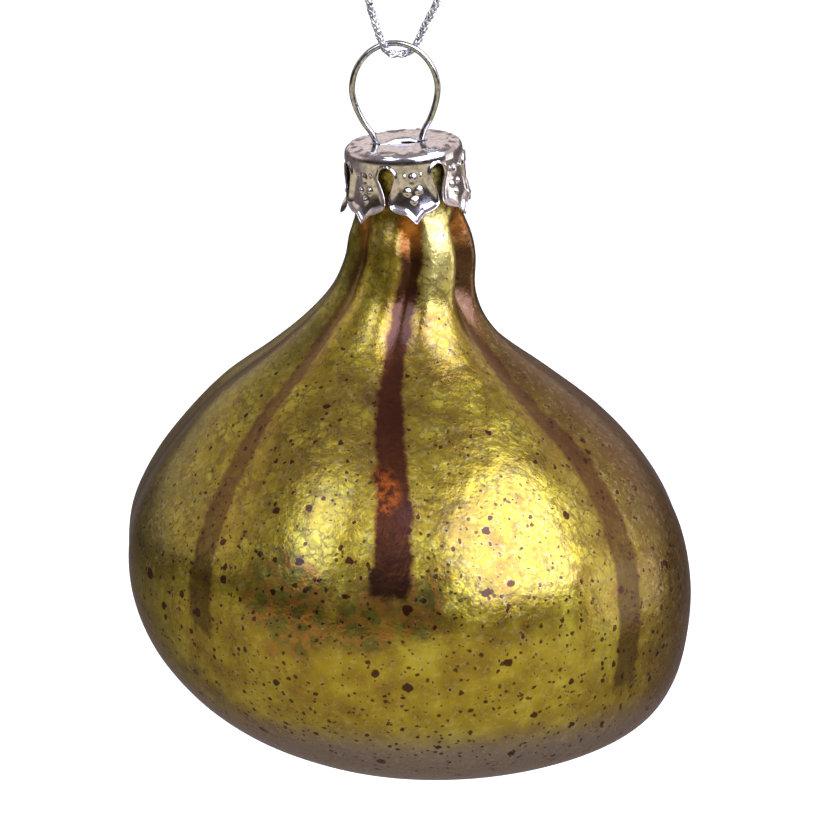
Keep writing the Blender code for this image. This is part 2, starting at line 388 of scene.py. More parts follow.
def knot_route(strand):
    """One strand of the knot, from below it to its trimmed end. strand is -1 or 1."""
    x, y, z = STRAND_START
    route = [KNOT_PLACE + Vector((strand * x, y, z)) * MM]
    for step in range(KNOT_STEPS + 1):
        turn = math.radians(KNOT_OPENING + (360 - 2 * KNOT_OPENING) * step / KNOT_STEPS)
        across = (math.sin(turn) + LOBE_REACH * math.sin(2 * turn)) * KNOT_WIDTH
        deep = -math.sin(3 * turn) * KNOT_DEPTH + strand * STRAND_GAP
        up = (-math.cos(turn) + LOBE_REACH * math.cos(2 * turn)) * KNOT_HEIGHT
        route.append(KNOT_PLACE + Vector((across, deep, up)))
    for x, y, z in TAIL_POINTS:
        route.append(KNOT_PLACE + Vector((strand * x, strand * y, z)) * MM)
    return route


knot = braided("tied_knot", smooth_path(knot_route(-1), STRAND_STEPS))
other = braided("tied_knot_other", smooth_path(knot_route(1), STRAND_STEPS))
joined = bmesh.new()
joined.from_mesh(knot.data)
joined.from_mesh(other.data)
joined.to_mesh(knot.data)
joined.free()
bpy.data.objects.remove(other)
finish_piece(knot, "cord_knot")

# %% [markdown]
# ## The bulb
# Blown glass keeps a round section with eight soft grooves, and each groove carries a painted stripe.
# The outline is a chosen curve of radius, height and lean, because the maker pulled the bulb slightly
# off centre. A grid is wrapped round that curve in a geometry tree: its width is the turn round the
# bulb and its height the way along the outline. The tree also stores how far each point lies from the
# painted stripes, which the material reads.

# %% Bulb sizes
BULB_OUTLINE = (
    (0.0, 0.0, 1.0),
    (7.2, 0.6, 1.4),
    (14.5, 2.35, 2.4),
    (21.0, 4.45, 3.4),
    (27.0, 7.6, 3.4),
    (31.1, 11.8, 2.4),
    (34.2, 17.7, 1.0),
    (35.85, 24.7, -0.05),
    (35.35, 31.7, -0.75),
    (32.4, 38.0, -1.15),
    (27.95, 43.7, -1.55),
    (22.25, 49.0, -2.3),
    (16.3, 53.5, -2.3),
    (11.9, 57.6, -1.9),
    (9.3, 61.7, -1.0),
    (8.4, 66.1, -0.1),
    (7.8, 69.2, -0.1),
    (6.6, 72.2, -0.2),
    (6.3, 75.6, -0.45),
    (6.3, 78.6, -0.65),
)
GLASS_WALL = 1.0 * MM
GROOVES = ((-46, -53), (-5, 2), (50, 62), (94, 106), (139, 148), (184, 188), (228, 226), (272, 266))
GROOVE_WIDTH = 12
FLUTE_DEPTH = 1.1
CREASE = 2
CREASE_DEPTH = 1.2
# Heights over which the flutes and the crease deepen, the grooves swing to their places at the neck,
# and everything fades out under the cap.
FLUTE_RISE = (7, 33)
CREASE_RISE = (55, 65)
GROOVE_SWING = (28, 60)
UNDER_CAP = (69.5, 72.6)
# Each stripe: its angle at the foot, the shoulder and the neck, the height it ends at, half its width.
STRIPES = (
    (-46, -47, -53, 25, 1.8),
    (-5, -0.5, 2, 32, 2.4),
    (48, 57.5, 69, 17, 2.1),
    (92, 98, 106, 24, 1.8),
    (139, 143, 148, 20, 1.5),
    (184, 186, 188, 28, 1.3),
    (228, 227, 226, 18, 1.2),
    (272, 270, 266, 26, 1.4),
)
# Heights over which a stripe moves to its place at the shoulder and at the neck, and grows narrow.
TO_SHOULDER = (12, 52)
TO_NECK = (50, 62)
NARROWING = (60, 34)
NARROW_SHARE = 0.55
END_SLOPE = 0.5
FAR_FROM_PAINT = 99.0
MERGE_REACH = 0.01
# Patches of crazed lacquer: angle, height and reach.
CRAZED = ((-24, 31, 6.5), (-7, 29.5, 4.5), (3, 31, 4.0), (160, 40, 8.0), (215, 22, 7.0), (100, 34, 6.0))


# %% Bulb tree
def bulb_tree(material):
    """The grid wrapped round the outline, worked out in millimetres and degrees."""
    sizes = {"Sides": 0, "Rings": 0, "Groove Width": 0.0, "Flute Depth": 0.0, "Crease Depth": 0.0}
    tree, given, result = new_tree("fluted bulb", sizes)
    outline = add_node(tree, "GeometryNodeMeshToCurve", {}, {"Mesh": given["Geometry"]}).outputs[0]
    grid = add_node(tree, "GeometryNodeMeshGrid", {}, {
        "Size X": 2 * HALF_TURN, "Size Y": 1.0,
        "Vertices X": given["Sides"], "Vertices Y": given["Rings"]}).outputs[0]
    position = add_node(tree, "GeometryNodeInputPosition").outputs[0]
    place = add_node(tree, "ShaderNodeSeparateXYZ", {}, (position,))
    angle = place.outputs["X"]
    along = add_node(tree, *ADD, (place.outputs["Y"], 0.5)).outputs[0]
    sample = add_node(tree, "GeometryNodeSampleCurve", {"mode": "FACTOR", "use_all_curves": True},
                      {"Curves": outline, "Factor": along})
    point = add_node(tree, "ShaderNodeSeparateXYZ", {}, (sample.outputs["Position"],))
    radius, height, lean = point.outputs["X"], point.outputs["Z"], point.outputs["Y"]
    to_neck, below_cap, flute, crease, to_shoulder, to_top = [
        add_node(tree, *SOFT_RISE, (height, *heights)).outputs[0]
        for heights in (GROOVE_SWING, (*UNDER_CAP, 1, 0), FLUTE_RISE, CREASE_RISE, TO_SHOULDER, TO_NECK)]

    # The grooves, each a soft hollow across its own angle.
    flute = add_node(tree, *MULTIPLY, (flute, given["Flute Depth"])).outputs[0]
    crease = add_node(tree, *MULTIPLY, (crease, given["Crease Depth"])).outputs[0]
    cut = 0.0
    for number, (belly, neck) in enumerate(GROOVES):
        middle = add_node(tree, *MULTIPLY_ADD, (to_neck, neck - belly, belly)).outputs[0]
        away = add_node(tree, *DIVIDE, (away_from(tree, angle, middle), given["Groove Width"])).outputs[0]
        depth = add_node(tree, *ADD, (flute, crease)).outputs[0] if number == CREASE else flute
        away = add_node(tree, *MULTIPLY, (away, away)).outputs[0]
        away = add_node(tree, *MULTIPLY, (away, -1.0)).outputs[0]
        share = add_node(tree, "ShaderNodeMath", {"operation": "EXPONENT"}, (away,)).outputs[0]
        cut = add_node(tree, *MULTIPLY_ADD, (share, depth, cut)).outputs[0]
    cut = add_node(tree, *MULTIPLY, (cut, below_cap)).outputs[0]
    radius = add_node(tree, *SUBTRACT, (radius, cut)).outputs[0]

    # The distance to the nearest painted stripe, below zero inside it.
    from_paint = FAR_FROM_PAINT
    for foot, shoulder, neck, end, half_width in STRIPES:
        middle = add_node(tree, *MULTIPLY_ADD, (to_shoulder, shoulder - foot, foot)).outputs[0]
        middle = add_node(tree, *MULTIPLY_ADD, (to_top, neck - shoulder, middle)).outputs[0]
        arc = add_node(tree, *MULTIPLY, (away_from(tree, angle, middle), DEGREE)).outputs[0]
        width = add_node(tree, *SOFT_RISE,
                         (height, *NARROWING, half_width * NARROW_SHARE, half_width)).outputs[0]
        width = add_node(tree, *MULTIPLY, (width, -1.0)).outputs[0]
        beyond = add_node(tree, *MULTIPLY_ADD, (arc, radius, width)).outputs[0]
        below = add_node(tree, *SUBTRACT, (end, height)).outputs[0]
        below = add_node(tree, *MULTIPLY, (below, END_SLOPE)).outputs[0]
        outside = add_node(tree, *MAXIMUM, (beyond, below)).outputs[0]
        from_paint = add_node(tree, "ShaderNodeMath", {"operation": "MINIMUM"},
                              (from_paint, outside)).outputs[0]

    # The grid's flat width becomes a turn round the axis.
    turn = add_node(tree, *MULTIPLY, (angle, DEGREE)).outputs[0]
    sine = add_node(tree, "ShaderNodeMath", {"operation": "SINE"}, (turn,)).outputs[0]
    cosine = add_node(tree, "ShaderNodeMath", {"operation": "COSINE"}, (turn,)).outputs[0]
    x = add_node(tree, *MULTIPLY_ADD, (sine, radius, lean)).outputs[0]
    y = add_node(tree, *MULTIPLY, (cosine, radius)).outputs[0]
    y = add_node(tree, *MULTIPLY, (y, -1.0)).outputs[0]
    moved = add_node(tree, "ShaderNodeCombineXYZ", {}, (x, y, height)).outputs[0]
    shape = grid
    for name, value in (("turn", angle), ("height", height), ("from_paint", from_paint)):
        shape = add_node(tree, "GeometryNodeStoreNamedAttribute", {"data_type": "FLOAT", "domain": "POINT"},
                         {"Geometry": shape, "Name": name, "Value": value}).outputs[0]
    shape = add_node(tree, "GeometryNodeSetPosition", {}, {"Geometry": shape, "Position": moved}).outputs[0]
    shape = add_node(tree, "GeometryNodeMergeByDistance", {},
                     {"Geometry": shape, "Distance": MERGE_REACH}).outputs[0]
    shape = add_node(tree, "GeometryNodeTransform", {}, {
        "Geometry": shape, "Translation": DESIGN_TO_WORLD.translation, "Scale": (MM, MM, MM)}).outputs[0]
    return finish_tree(tree, shape, material, result)


# %% [markdown]
# ## The lacquered glass
# The glass is silvered, then sprayed with olive-gold lacquer that has run and mottled, and the stripes
# are painted on by hand. Each layer is a mask and a colour, laid over the ones before it. Sizes of the
# patterns are in millimetres. A soft coat over everything gives the gloss.

# %% Lacquered glass material
# Cloudy patterns: the size of their features, and how many finer layers they have.
CLOUDS = ((16, 3.0), (4, 3.0), (2.4, 3.0), (1.2, 3.0), (0.7, 3.0), (0.55, 1.0), (2.8, 1.0))
VEIN_SPACING = 1.7
CRAZE_SPACING = 2.8
# Speckles: the spacing of their cells, how far they reach in a cell, and how dark they are.
SPECKLES = ((3.2, 0.23, 0.95), (2.0, 0.29, 0.95), (1.25, 0.31, 0.9), (0.8, 0.36, 0.85))
SPECKLE_EDGE = 0.06
GLOW_TURN = -4.0
GLOW_HEIGHT = 43.5
PAINT_TOP = 80.0
# The last stop, orange at the tops of the stripes, is painted light shining through the thin paint at the
# neck.
PAINT_AND_GLOW_STOPS = ((0.38, "#240A04"), (0.5, "#401404"), (0.62, "#421204"), (0.84, "#3C1C0A"), (0.88, "#B06A20"))


def lacquered_glass():
    """Glass under sprayed lacquer. Turns are in degrees from the front, heights in millimetres."""
    material, tree, shader = new_material("silvered_glass_sprayed_olive_gold")
    object_place = add_node(tree, "ShaderNodeTexCoord").outputs["Object"]
    place = add_node(tree, "ShaderNodeVectorMath", {"operation": "SCALE"},
                     {0: object_place, "Scale": 1 / MM}).outputs[0]
    turn, height, from_paint = [
        add_node(tree, "ShaderNodeAttribute", {"attribute_name": name}).outputs["Fac"]
        for name in ("turn", "height", "from_paint")]
    broad, middling, blotches, fine, silvering, grit, dents = [
        add_node(tree, "ShaderNodeTexNoise", {}, {
            "Vector": place, "Scale": 1 / size, "Detail": detail, "Roughness": 0.6}).outputs["Fac"]
        for size, detail in CLOUDS]
    broad_swing, middling_swing, fine_swing = [
        add_node(tree, *SUBTRACT, (cloud, 0.5)).outputs[0] for cloud in (broad, middling, fine)]

    # The sprayed ground: olive gold that runs between brown and yellow-green. Painted reflection and shade
    # go over it:
    # darker flanks, greenish on the left and brown on the right, a pale mauve-grey reflection of the floor
    # underneath, and a painted highlight at the neck on the side towards the key light.
    mottle = add_node(tree, *MULTIPLY, (broad, 0.55)).outputs[0]
    mottle = add_node(tree, *MULTIPLY_ADD, (middling, 0.45, mottle)).outputs[0]
    stops = ((0.3, "#78591C"), (0.5, "#A08822"), (0.68, "#C6B43A"))
    colour = add_node(tree, "ShaderNodeValToRGB", {"stops": stops}, (mottle,)).outputs["Color"]
    wavy_turn = add_node(tree, *MULTIPLY_ADD, (broad_swing, 40.0, turn)).outputs[0]
    # Painted reflection and shade on the flanks: darker, greenish on the left and brown on the right.
    left_flank_painted_reflection = add_node(tree, *SOFT_RISE, (wavy_turn, -38, -75, 0, 0.75)).outputs[0]
    right_flank_painted_reflection = add_node(tree, *SOFT_RISE, (wavy_turn, 38, 75, 0, 0.85)).outputs[0]
    # A painted reflection of the pale floor, mauve-grey, along the underside.
    base_painted_reflection = add_node(tree, *SOFT_RISE, (height, 16, 10, 0, 0.9)).outputs[0]
    # A painted highlight on the neck, on the side towards the key light.
    at_neck = add_node(tree, *SOFT_RISE, (height, 60, 66)).outputs[0]
    faces_key_light = add_node(tree, *SOFT_RISE, (away_from(tree, turn, 32.0), 24, 12)).outputs[0]
    neck_painted_highlight = add_node(tree, *MULTIPLY, (at_neck, faces_key_light)).outputs[0]
    neck_painted_highlight = add_node(tree, *MULTIPLY, (neck_painted_highlight, 0.85)).outputs[0]
    blotch = add_node(tree, *SOFT_RISE, (blotches, 0.5, 0.62)).outputs[0]
    higher = add_node(tree, *SOFT_RISE, (height, 22, 38)).outputs[0]
    blotch = add_node(tree, *MULTIPLY, (blotch, higher)).outputs[0]
    blotch = add_node(tree, *MULTIPLY, (blotch, 0.4)).outputs[0]

    # Fine dark veins where the lacquer has drawn together, and grains where the silvering shows through.
    uneven = add_node(tree, "ShaderNodeTexNoise", {},
                      {"Vector": place, "Scale": 1.3, "Detail": 2.0}).outputs["Color"]
    shifted, wobbled = [
        add_node(tree, "ShaderNodeVectorMath", {"operation": "MULTIPLY_ADD"},
                 (uneven, (shift, shift, shift), place)).outputs[0]
        for shift in (1.4, 0.75)]
    vein_edge, craze_edge = [
        add_node(tree, "ShaderNodeTexVoronoi", {"feature": "DISTANCE_TO_EDGE"},
                 {"Vector": shifted, "Scale": 1 / spacing}).outputs["Distance"]
        for spacing in (VEIN_SPACING, CRAZE_SPACING)]
    veins = add_node(tree, *SOFT_RISE, (vein_edge, 0.14, 0.03)).outputs[0]
    patchy = add_node(tree, *SOFT_RISE, (middling, 0.42, 0.6, 0.1, 0.6)).outputs[0]
    above_base = add_node(tree, *SOFT_RISE, (height, 24, 34)).outputs[0]
    veins = add_node(tree, *MULTIPLY, (veins, patchy)).outputs[0]
    veins = add_node(tree, *MULTIPLY, (veins, above_base)).outputs[0]
    grains = add_node(tree, *SOFT_RISE, (silvering, 0.52, 0.66, 0, 0.12)).outputs[0]

    # Amber cells where the lacquer has crazed, in a few patches on the belly.
    patch = 0.0
    for patch_turn, patch_height, reach in CRAZED:
        across = add_node(tree, *MULTIPLY, (away_from(tree, turn, patch_turn), 0.6 / reach)).outputs[0]
        up = add_node(tree, *SUBTRACT, (height, patch_height)).outputs[0]
        up = add_node(tree, *DIVIDE, (up, reach)).outputs[0]
        up = add_node(tree, "ShaderNodeMath", {"operation": "POWER"}, (up, 2.0)).outputs[0]
        away = add_node(tree, *MULTIPLY_ADD, (across, across, up)).outputs[0]
        away = add_node(tree, "ShaderNodeMath", {"operation": "SQRT"}, (away,)).outputs[0]
        away = add_node(tree, *MULTIPLY_ADD, (middling_swing, 1.2, away)).outputs[0]
        inside = add_node(tree, *SOFT_RISE, (away, 1.1, 0.7)).outputs[0]
        patch = add_node(tree, *MAXIMUM, (patch, inside)).outputs[0]
    under_patch = add_node(tree, *MULTIPLY, (patch, 0.6)).outputs[0]
    network = add_node(tree, *SOFT_RISE, (craze_edge, 0.2, 0.08)).outputs[0]
    network = add_node(tree, *MULTIPLY, (patch, network)).outputs[0]
    broken = add_node(tree, *SOFT_RISE, (fine, 0.35, 0.6, 0.3, 1)).outputs[0]
    network = add_node(tree, *MULTIPLY, (network, broken)).outputs[0]
    network = add_node(tree, *MULTIPLY, (network, 0.75)).outputs[0]

    # The first four layers are painted reflection, shade and highlight; the others are the lacquer's own
    # marks.
    for mask, layer in (
            (left_flank_painted_reflection, "#5A5E2C"), (right_flank_painted_reflection, "#523620"), (base_painted_reflection, "#82746C"),
            (neck_painted_highlight, "#DCCA74"), (blotch, "#5A3E1C"), (veins, "#5E4C1E"), (grains, "#E0D8AC"),
            (under_patch, "#4A4E22"), (network, "#A8702C")):
        colour = add_node(tree, *MIX, {0: mask, 6: colour, 7: linear(layer)}).outputs[2]

    # The painted stripes, with ragged edges and a stain beside them. The orange at their tops and a bright
    # orange spot on the front one are painted light, shining through the thin paint.
    rough_edge = add_node(tree, *MULTIPLY_ADD, (fine_swing, 1.1, from_paint)).outputs[0]
    rough_edge = add_node(tree, *MULTIPLY_ADD, (middling_swing, 1.6, rough_edge)).outputs[0]
    painted_height = add_node(tree, *DIVIDE, (height, PAINT_TOP)).outputs[0]
    paint = add_node(tree, "ShaderNodeValToRGB", {"stops": PAINT_AND_GLOW_STOPS}, (painted_height,)).outputs["Color"]
    # A painted bright spot on the front stripe: light shining through the thin paint, flecked.
    glow_up = add_node(tree, *SUBTRACT, (height, GLOW_HEIGHT)).outputs[0]
    glow_across = add_node(tree, *MULTIPLY, (away_from(tree, turn, GLOW_TURN), 0.5)).outputs[0]
    front_stripe_painted_glow = add_node(tree, *MULTIPLY, (glow_across, glow_across)).outputs[0]
    front_stripe_painted_glow = add_node(tree, *MULTIPLY_ADD, (glow_up, glow_up, front_stripe_painted_glow)).outputs[0]
    front_stripe_painted_glow = add_node(tree, *SOFT_RISE, (front_stripe_painted_glow, 9, 1)).outputs[0]
    flecked = add_node(tree, *SOFT_RISE, (fine, 0.36, 0.62)).outputs[0]
    front_stripe_painted_glow = add_node(tree, *MULTIPLY, (front_stripe_painted_glow, flecked)).outputs[0]
    front_stripe_painted_glow = add_node(tree, *MULTIPLY, (front_stripe_painted_glow, 0.75)).outputs[0]
    paint = add_node(tree, *MIX, {0: front_stripe_painted_glow, 6: paint, 7: linear("#AC5212")}).outputs[2]
    strength = add_node(tree, *SOFT_RISE, (away_from(tree, turn, -2.0), 12, 25, 0.95, 0.6)).outputs[0]
    for edge, reach, layer in (((0.9, -0.3), (0, 0.5), linear("#7A4A20")), ((0.35, -0.4), (0, 1), paint)):
        mask = add_node(tree, *SOFT_RISE, (rough_edge, *edge, *reach)).outputs[0]
        mask = add_node(tree, *MULTIPLY, (mask, strength)).outputs[0]
        colour = add_node(tree, *MIX, {0: mask, 6: colour, 7: layer}).outputs[2]

    # Speckles in four sizes, fewer towards the neck, some with a pale halo.
    dense = add_node(tree, *MULTIPLY_ADD, (broad, 40.0, height)).outputs[0]
    dense = add_node(tree, *SOFT_RISE, (dense, 78, 52, 0.55, 1)).outputs[0]
    off_paint = add_node(tree, *SOFT_RISE, (rough_edge, 0, 1)).outputs[0]
    for spacing, reach, darkness in SPECKLES:
        spots = add_node(tree, "ShaderNodeTexVoronoi", {}, {"Vector": wobbled, "Scale": 1 / spacing})
        random = add_node(tree, "ShaderNodeSeparateXYZ", {}, (spots.outputs["Color"],)).outputs
        radius = add_node(tree, "ShaderNodeMath", {"operation": "POWER"}, (random["X"], 2.5)).outputs[0]
        radius = add_node(tree, *MULTIPLY_ADD, (radius, 0.65 * reach, 0.35 * reach)).outputs[0]
        present = add_node(tree, *SOFT_RISE, (random["Z"], 0.3, 0.32, -0.3, 0)).outputs[0]
        radius = add_node(tree, *MULTIPLY_ADD, (radius, dense, present)).outputs[0]
        beyond = add_node(tree, *SUBTRACT, (spots.outputs["Distance"], radius)).outputs[0]
        soft = SPECKLE_EDGE / spacing
        halo = add_node(tree, *SOFT_RISE, (beyond, 3 * soft, soft)).outputs[0]
        chosen = add_node(tree, *SOFT_RISE, (random["Y"], 0.7, 0.85)).outputs[0]
        for factor in (chosen, off_paint, 0.2):
            halo = add_node(tree, *MULTIPLY, (halo, factor)).outputs[0]
        speck = add_node(tree, *SOFT_RISE, (beyond, soft, -soft, 0, darkness)).outputs[0]
        for mask, layer in ((halo, "#C0B078"), (speck, "#3C1408")):
            colour = add_node(tree, *MIX, {0: mask, 6: colour, 7: linear(layer)}).outputs[2]

    grain = add_node(tree, *MULTIPLY_ADD, (grit, 0.6, fine)).outputs[0]
    grain = add_node(tree, *MULTIPLY_ADD, (dents, 2.4, grain)).outputs[0]
    bump = add_node(tree, "ShaderNodeBump", {}, {"Strength": 0.5, "Distance": 0.14 * MM, "Height": grain})
    dullness = add_node(tree, *SOFT_RISE, (middling, 0.3, 0.7, 0.26, 0.36)).outputs[0]
    tree.links.new(colour, shader.inputs["Base Color"])
    tree.links.new(bump.outputs["Normal"], shader.inputs["Normal"])
    tree.links.new(dullness, shader.inputs["Roughness"])
    shader.inputs["Metallic"].default_value = 0.92
    shader.inputs["Specular Tint"].default_value = linear("#C8B49C")
    shader.inputs["Coat Weight"].default_value = 0.4
    shader.inputs["Coat Roughness"].default_value = 0.2
    return material


# %% Make the bulb
BULB_SIDES = 257
BULB_RINGS = 150
LACQUERED_GLASS = lacquered_glass()
holder = add_polyline("bulb", [(r, lean, h) for r, h, lean in smooth_path(BULB_OUTLINE, CURVE_STEPS)])
add_tree(holder, bulb_tree(LACQUERED_GLASS), {
    "Sides": BULB_SIDES, "Rings": BULB_RINGS, "Groove Width": float(GROOVE_WIDTH),
    "Flute Depth": FLUTE_DEPTH, "Crease Depth": CREASE_DEPTH})
wall = holder.modifiers.new("wall", "SOLIDIFY")
wall.thickness = GLASS_WALL
wall.offset = -1
finish_piece(plain_mesh(holder, "glass_bulb_skin"), "glass_bulb")

# %% [markdown]
# ## The crown cap
# The cap is pressed from thin tinplate. Its skirt is cut into seven petals with rolled edges, and small
# ovals and dots are embossed on it. One seventh of the cap is modelled, from the middle of the top to the
# tip of a petal, and a geometry tree repeats it round the neck and joins the seams.

# %% Cap sizes and the shape of one petal
PETALS = 7
PETAL_FIRST = 8
HALF_PITCH = math.pi / PETALS
CAP_OUTLINE = ((0.01, 0), (1.3, 0), (2.6, 0), (4.0, 0), (5.7, 0), (6.85, -0.2), (7.3, -0.9), (7.35, -3.0),
               (7.4, -4.8), (7.65, -6.6), (8.1, -8.5), (8.3, -9.2))
GAP_TOP = -1.5
GAP_WIDEST = -3.0
GAP_HALF_WIDTH = 0.95
GAP_FOOT = -6.1
FOOT_HALF_GAP = 0.2
CAP_WALL = 0.22
# Embossed dots on a petal: place across, place below the top, size.
DOTS = ((-0.85, -4.7, 0.38), (0.85, -4.6, 0.38), (0.0, -5.8, 0.4), (1.45, -2.7, 0.24), (-1.45, -2.7, 0.24))
DOT_RISE = 0.28
# An oval bump above the dots of each petal: its height, half its width and height, how far it stands out.
BUMP_HEIGHT = -3.1
BUMP_SIZE = (0.8, 0.6)
BUMP_RISE = 0.32
# A ring of pressed ovals near the rim of the top, with a dot between them.
OVAL_PLACE = 6.3
OVAL_SIZE = (1.1, 0.62)
OVAL_LINE = 0.28
OVAL_RISE = 0.2
RIM_DOT_SIZE = 0.36
RIM_DOT_RISE = 0.24
LOBE_DROP = 1.5
TIP_DROP = 1.1
TIP_HALF_WIDTH = 0.34
RIM_RISE = 0.3
DISH_DEPTH = 0.22
ACROSS = 36
DOWN = 110


def half_gap(height):
    """Half the gap between two petals: a drop, round above and narrow below."""
    if height >= GAP_TOP:
        return 0.0
    if height > GAP_WIDEST:
        rise = (height - GAP_WIDEST) / (GAP_TOP - GAP_WIDEST)
        return GAP_HALF_WIDTH * math.sqrt(1 - rise * rise)
    fall = min(1, (GAP_WIDEST - height) / (GAP_WIDEST - GAP_FOOT))
    return GAP_HALF_WIDTH + (FOOT_HALF_GAP - GAP_HALF_WIDTH) * math.sin(fall * math.pi / 2)


def petal_foot(across):
    """How low the petal reaches: round lobes, and a small pointed tip in the middle."""
    lobe = LOBE_DROP * math.sqrt(max(0, 1 - across * across))
    tip = TIP_DROP * max(0, 1 - abs(across) / TIP_HALF_WIDTH) ** 1.2
    return GAP_FOOT - lobe - tip


def emboss(across, height, radius, distance):
    """How far the relief stands out at a point of the petal or of the top."""
    arc = across * HALF_PITCH * radius
    raised = 0.0
    if height < GAP_TOP - 0.4:
        bump = (arc / BUMP_SIZE[0]) ** 2 + ((height - BUMP_HEIGHT) / BUMP_SIZE[1]) ** 2
        raised += BUMP_RISE * math.exp(-bump ** 2)
        for x, z, size in DOTS:
            raised += DOT_RISE * math.exp(-(((arc - x) ** 2 + (height - z) ** 2) / size ** 2) ** 2)
    beside = (1 - abs(across)) * HALF_PITCH * radius
    oval = math.hypot(beside / OVAL_SIZE[0], (distance - OVAL_PLACE) / OVAL_SIZE[1])
    raised += OVAL_RISE * math.exp(-((oval - 1) / OVAL_LINE) ** 2)
    raised += RIM_DOT_RISE * math.exp(-((arc ** 2 + (distance - OVAL_PLACE) ** 2) / RIM_DOT_SIZE ** 2) ** 2)
    return raised


def petal_mesh():
    """One seventh of the cap in the crown's frame, in millimetres, as a grid of points."""
    outline = smooth_path([(r, 0, h) for r, h in CAP_OUTLINE], 12)
    travelled = [0.0]
    for a, b in zip(outline, outline[1:]):
        travelled.append(travelled[-1] + (b - a).length)
    heights = [p.z for p in outline]
    foot_start = next(i for i, h in enumerate(heights) if h < GAP_TOP)
    start = travelled[foot_start]
    points = []
    for column in range(ACROSS + 1):
        across = -1 + 2 * column / ACROSS
        foot = petal_foot(across)
        end = np.interp(-foot, [-h for h in heights[foot_start:]], travelled[foot_start:])
        for row in range(DOWN + 1):
            share = row / DOWN
            distance = share * 2 * start if share <= 0.5 else start + (share - 0.5) * 2 * (end - start)
            radius = np.interp(distance, travelled, [p.x for p in outline])
            height = np.interp(distance, travelled, heights)
            gap = half_gap(height)
            angle = across * (HALF_PITCH - gap / radius)
            out = emboss(across, height, radius, distance)
            if height < GAP_TOP:
                edge = min((1 - abs(across)) * (HALF_PITCH * radius - gap), height - foot)
                out += RIM_RISE * math.exp(-((edge - 0.12) / 0.2) ** 2)
                out -= DISH_DEPTH * min(1, max(0, (edge - 0.3) / 0.6)) * min(1, (GAP_TOP - height) / 1.5)
            slope = min(1.0, max(0.0, (distance - 5.9) / 1.3))
            reach = radius + out * slope
            points.append((reach * math.sin(angle), -reach * math.cos(angle), height + out * (1 - slope)))
    faces = []
    for column in range(ACROSS):
        for row in range(DOWN):
            a = column * (DOWN + 1) + row
            faces.append((a, a + 1, a + DOWN + 2, a + DOWN + 1))
    return points, faces


# %% Stamped tin and drawn wire
TIN_MARK = 0.7 * MM
WIRE_MARK = 0.5 * MM


def stamped_tin():
    """Pressed tinplate: bright with a faint pink cast, and small dull marks from handling."""
    material, tree, shader = new_material("pressed_bright_tinplate")
    place = add_node(tree, "ShaderNodeTexCoord").outputs["Object"]
    marks = add_node(tree, "ShaderNodeTexNoise", {}, {
        "Vector": place, "Scale": 1 / TIN_MARK, "Detail": 3.0, "Roughness": 0.6}).outputs["Fac"]
    tone = add_node(tree, "ShaderNodeValToRGB", {"stops": ((0.3, "#A89E9C"), (0.6, "#D6CCCA"))}, (marks,))
    dullness = add_node(tree, *SOFT_RISE, (marks, 0.3, 0.7, 0.2, 0.1)).outputs[0]
    bump = add_node(tree, "ShaderNodeBump", {}, {"Strength": 0.15, "Distance": 0.03 * MM, "Height": marks})
    tree.links.new(tone.outputs["Color"], shader.inputs["Base Color"])
    tree.links.new(dullness, shader.inputs["Roughness"])
    tree.links.new(bump.outputs["Normal"], shader.inputs["Normal"])
    shader.inputs["Metallic"].default_value = 1.0
    return material


def drawn_wire():
    """Steel wire drawn through a die: bright, with small uneven marks."""
    material, tree, shader = new_material("bright_drawn_steel_wire")
    place = add_node(tree, "ShaderNodeTexCoord").outputs["Object"]
    marks = add_node(tree, "ShaderNodeTexNoise", {}, {
        "Vector": place, "Scale": 1 / WIRE_MARK, "Detail": 3.0, "Roughness": 0.6}).outputs["Fac"]
    tone = add_node(tree, "ShaderNodeValToRGB", {"stops": ((0.35, "#8E8A88"), (0.65, "#C4C1BF"))}, (marks,))
    dullness = add_node(tree, *SOFT_RISE, (marks, 0.3, 0.7, 0.1, 0.2)).outputs[0]
    tree.links.new(tone.outputs["Color"], shader.inputs["Base Color"])
    tree.links.new(dullness, shader.inputs["Roughness"])
    shader.inputs["Metallic"].default_value = 1.0
    return material


# %% Cap tree and the cap
SEAM_REACH = 0.012
STRAP_FADE = (2.4, 0.6)


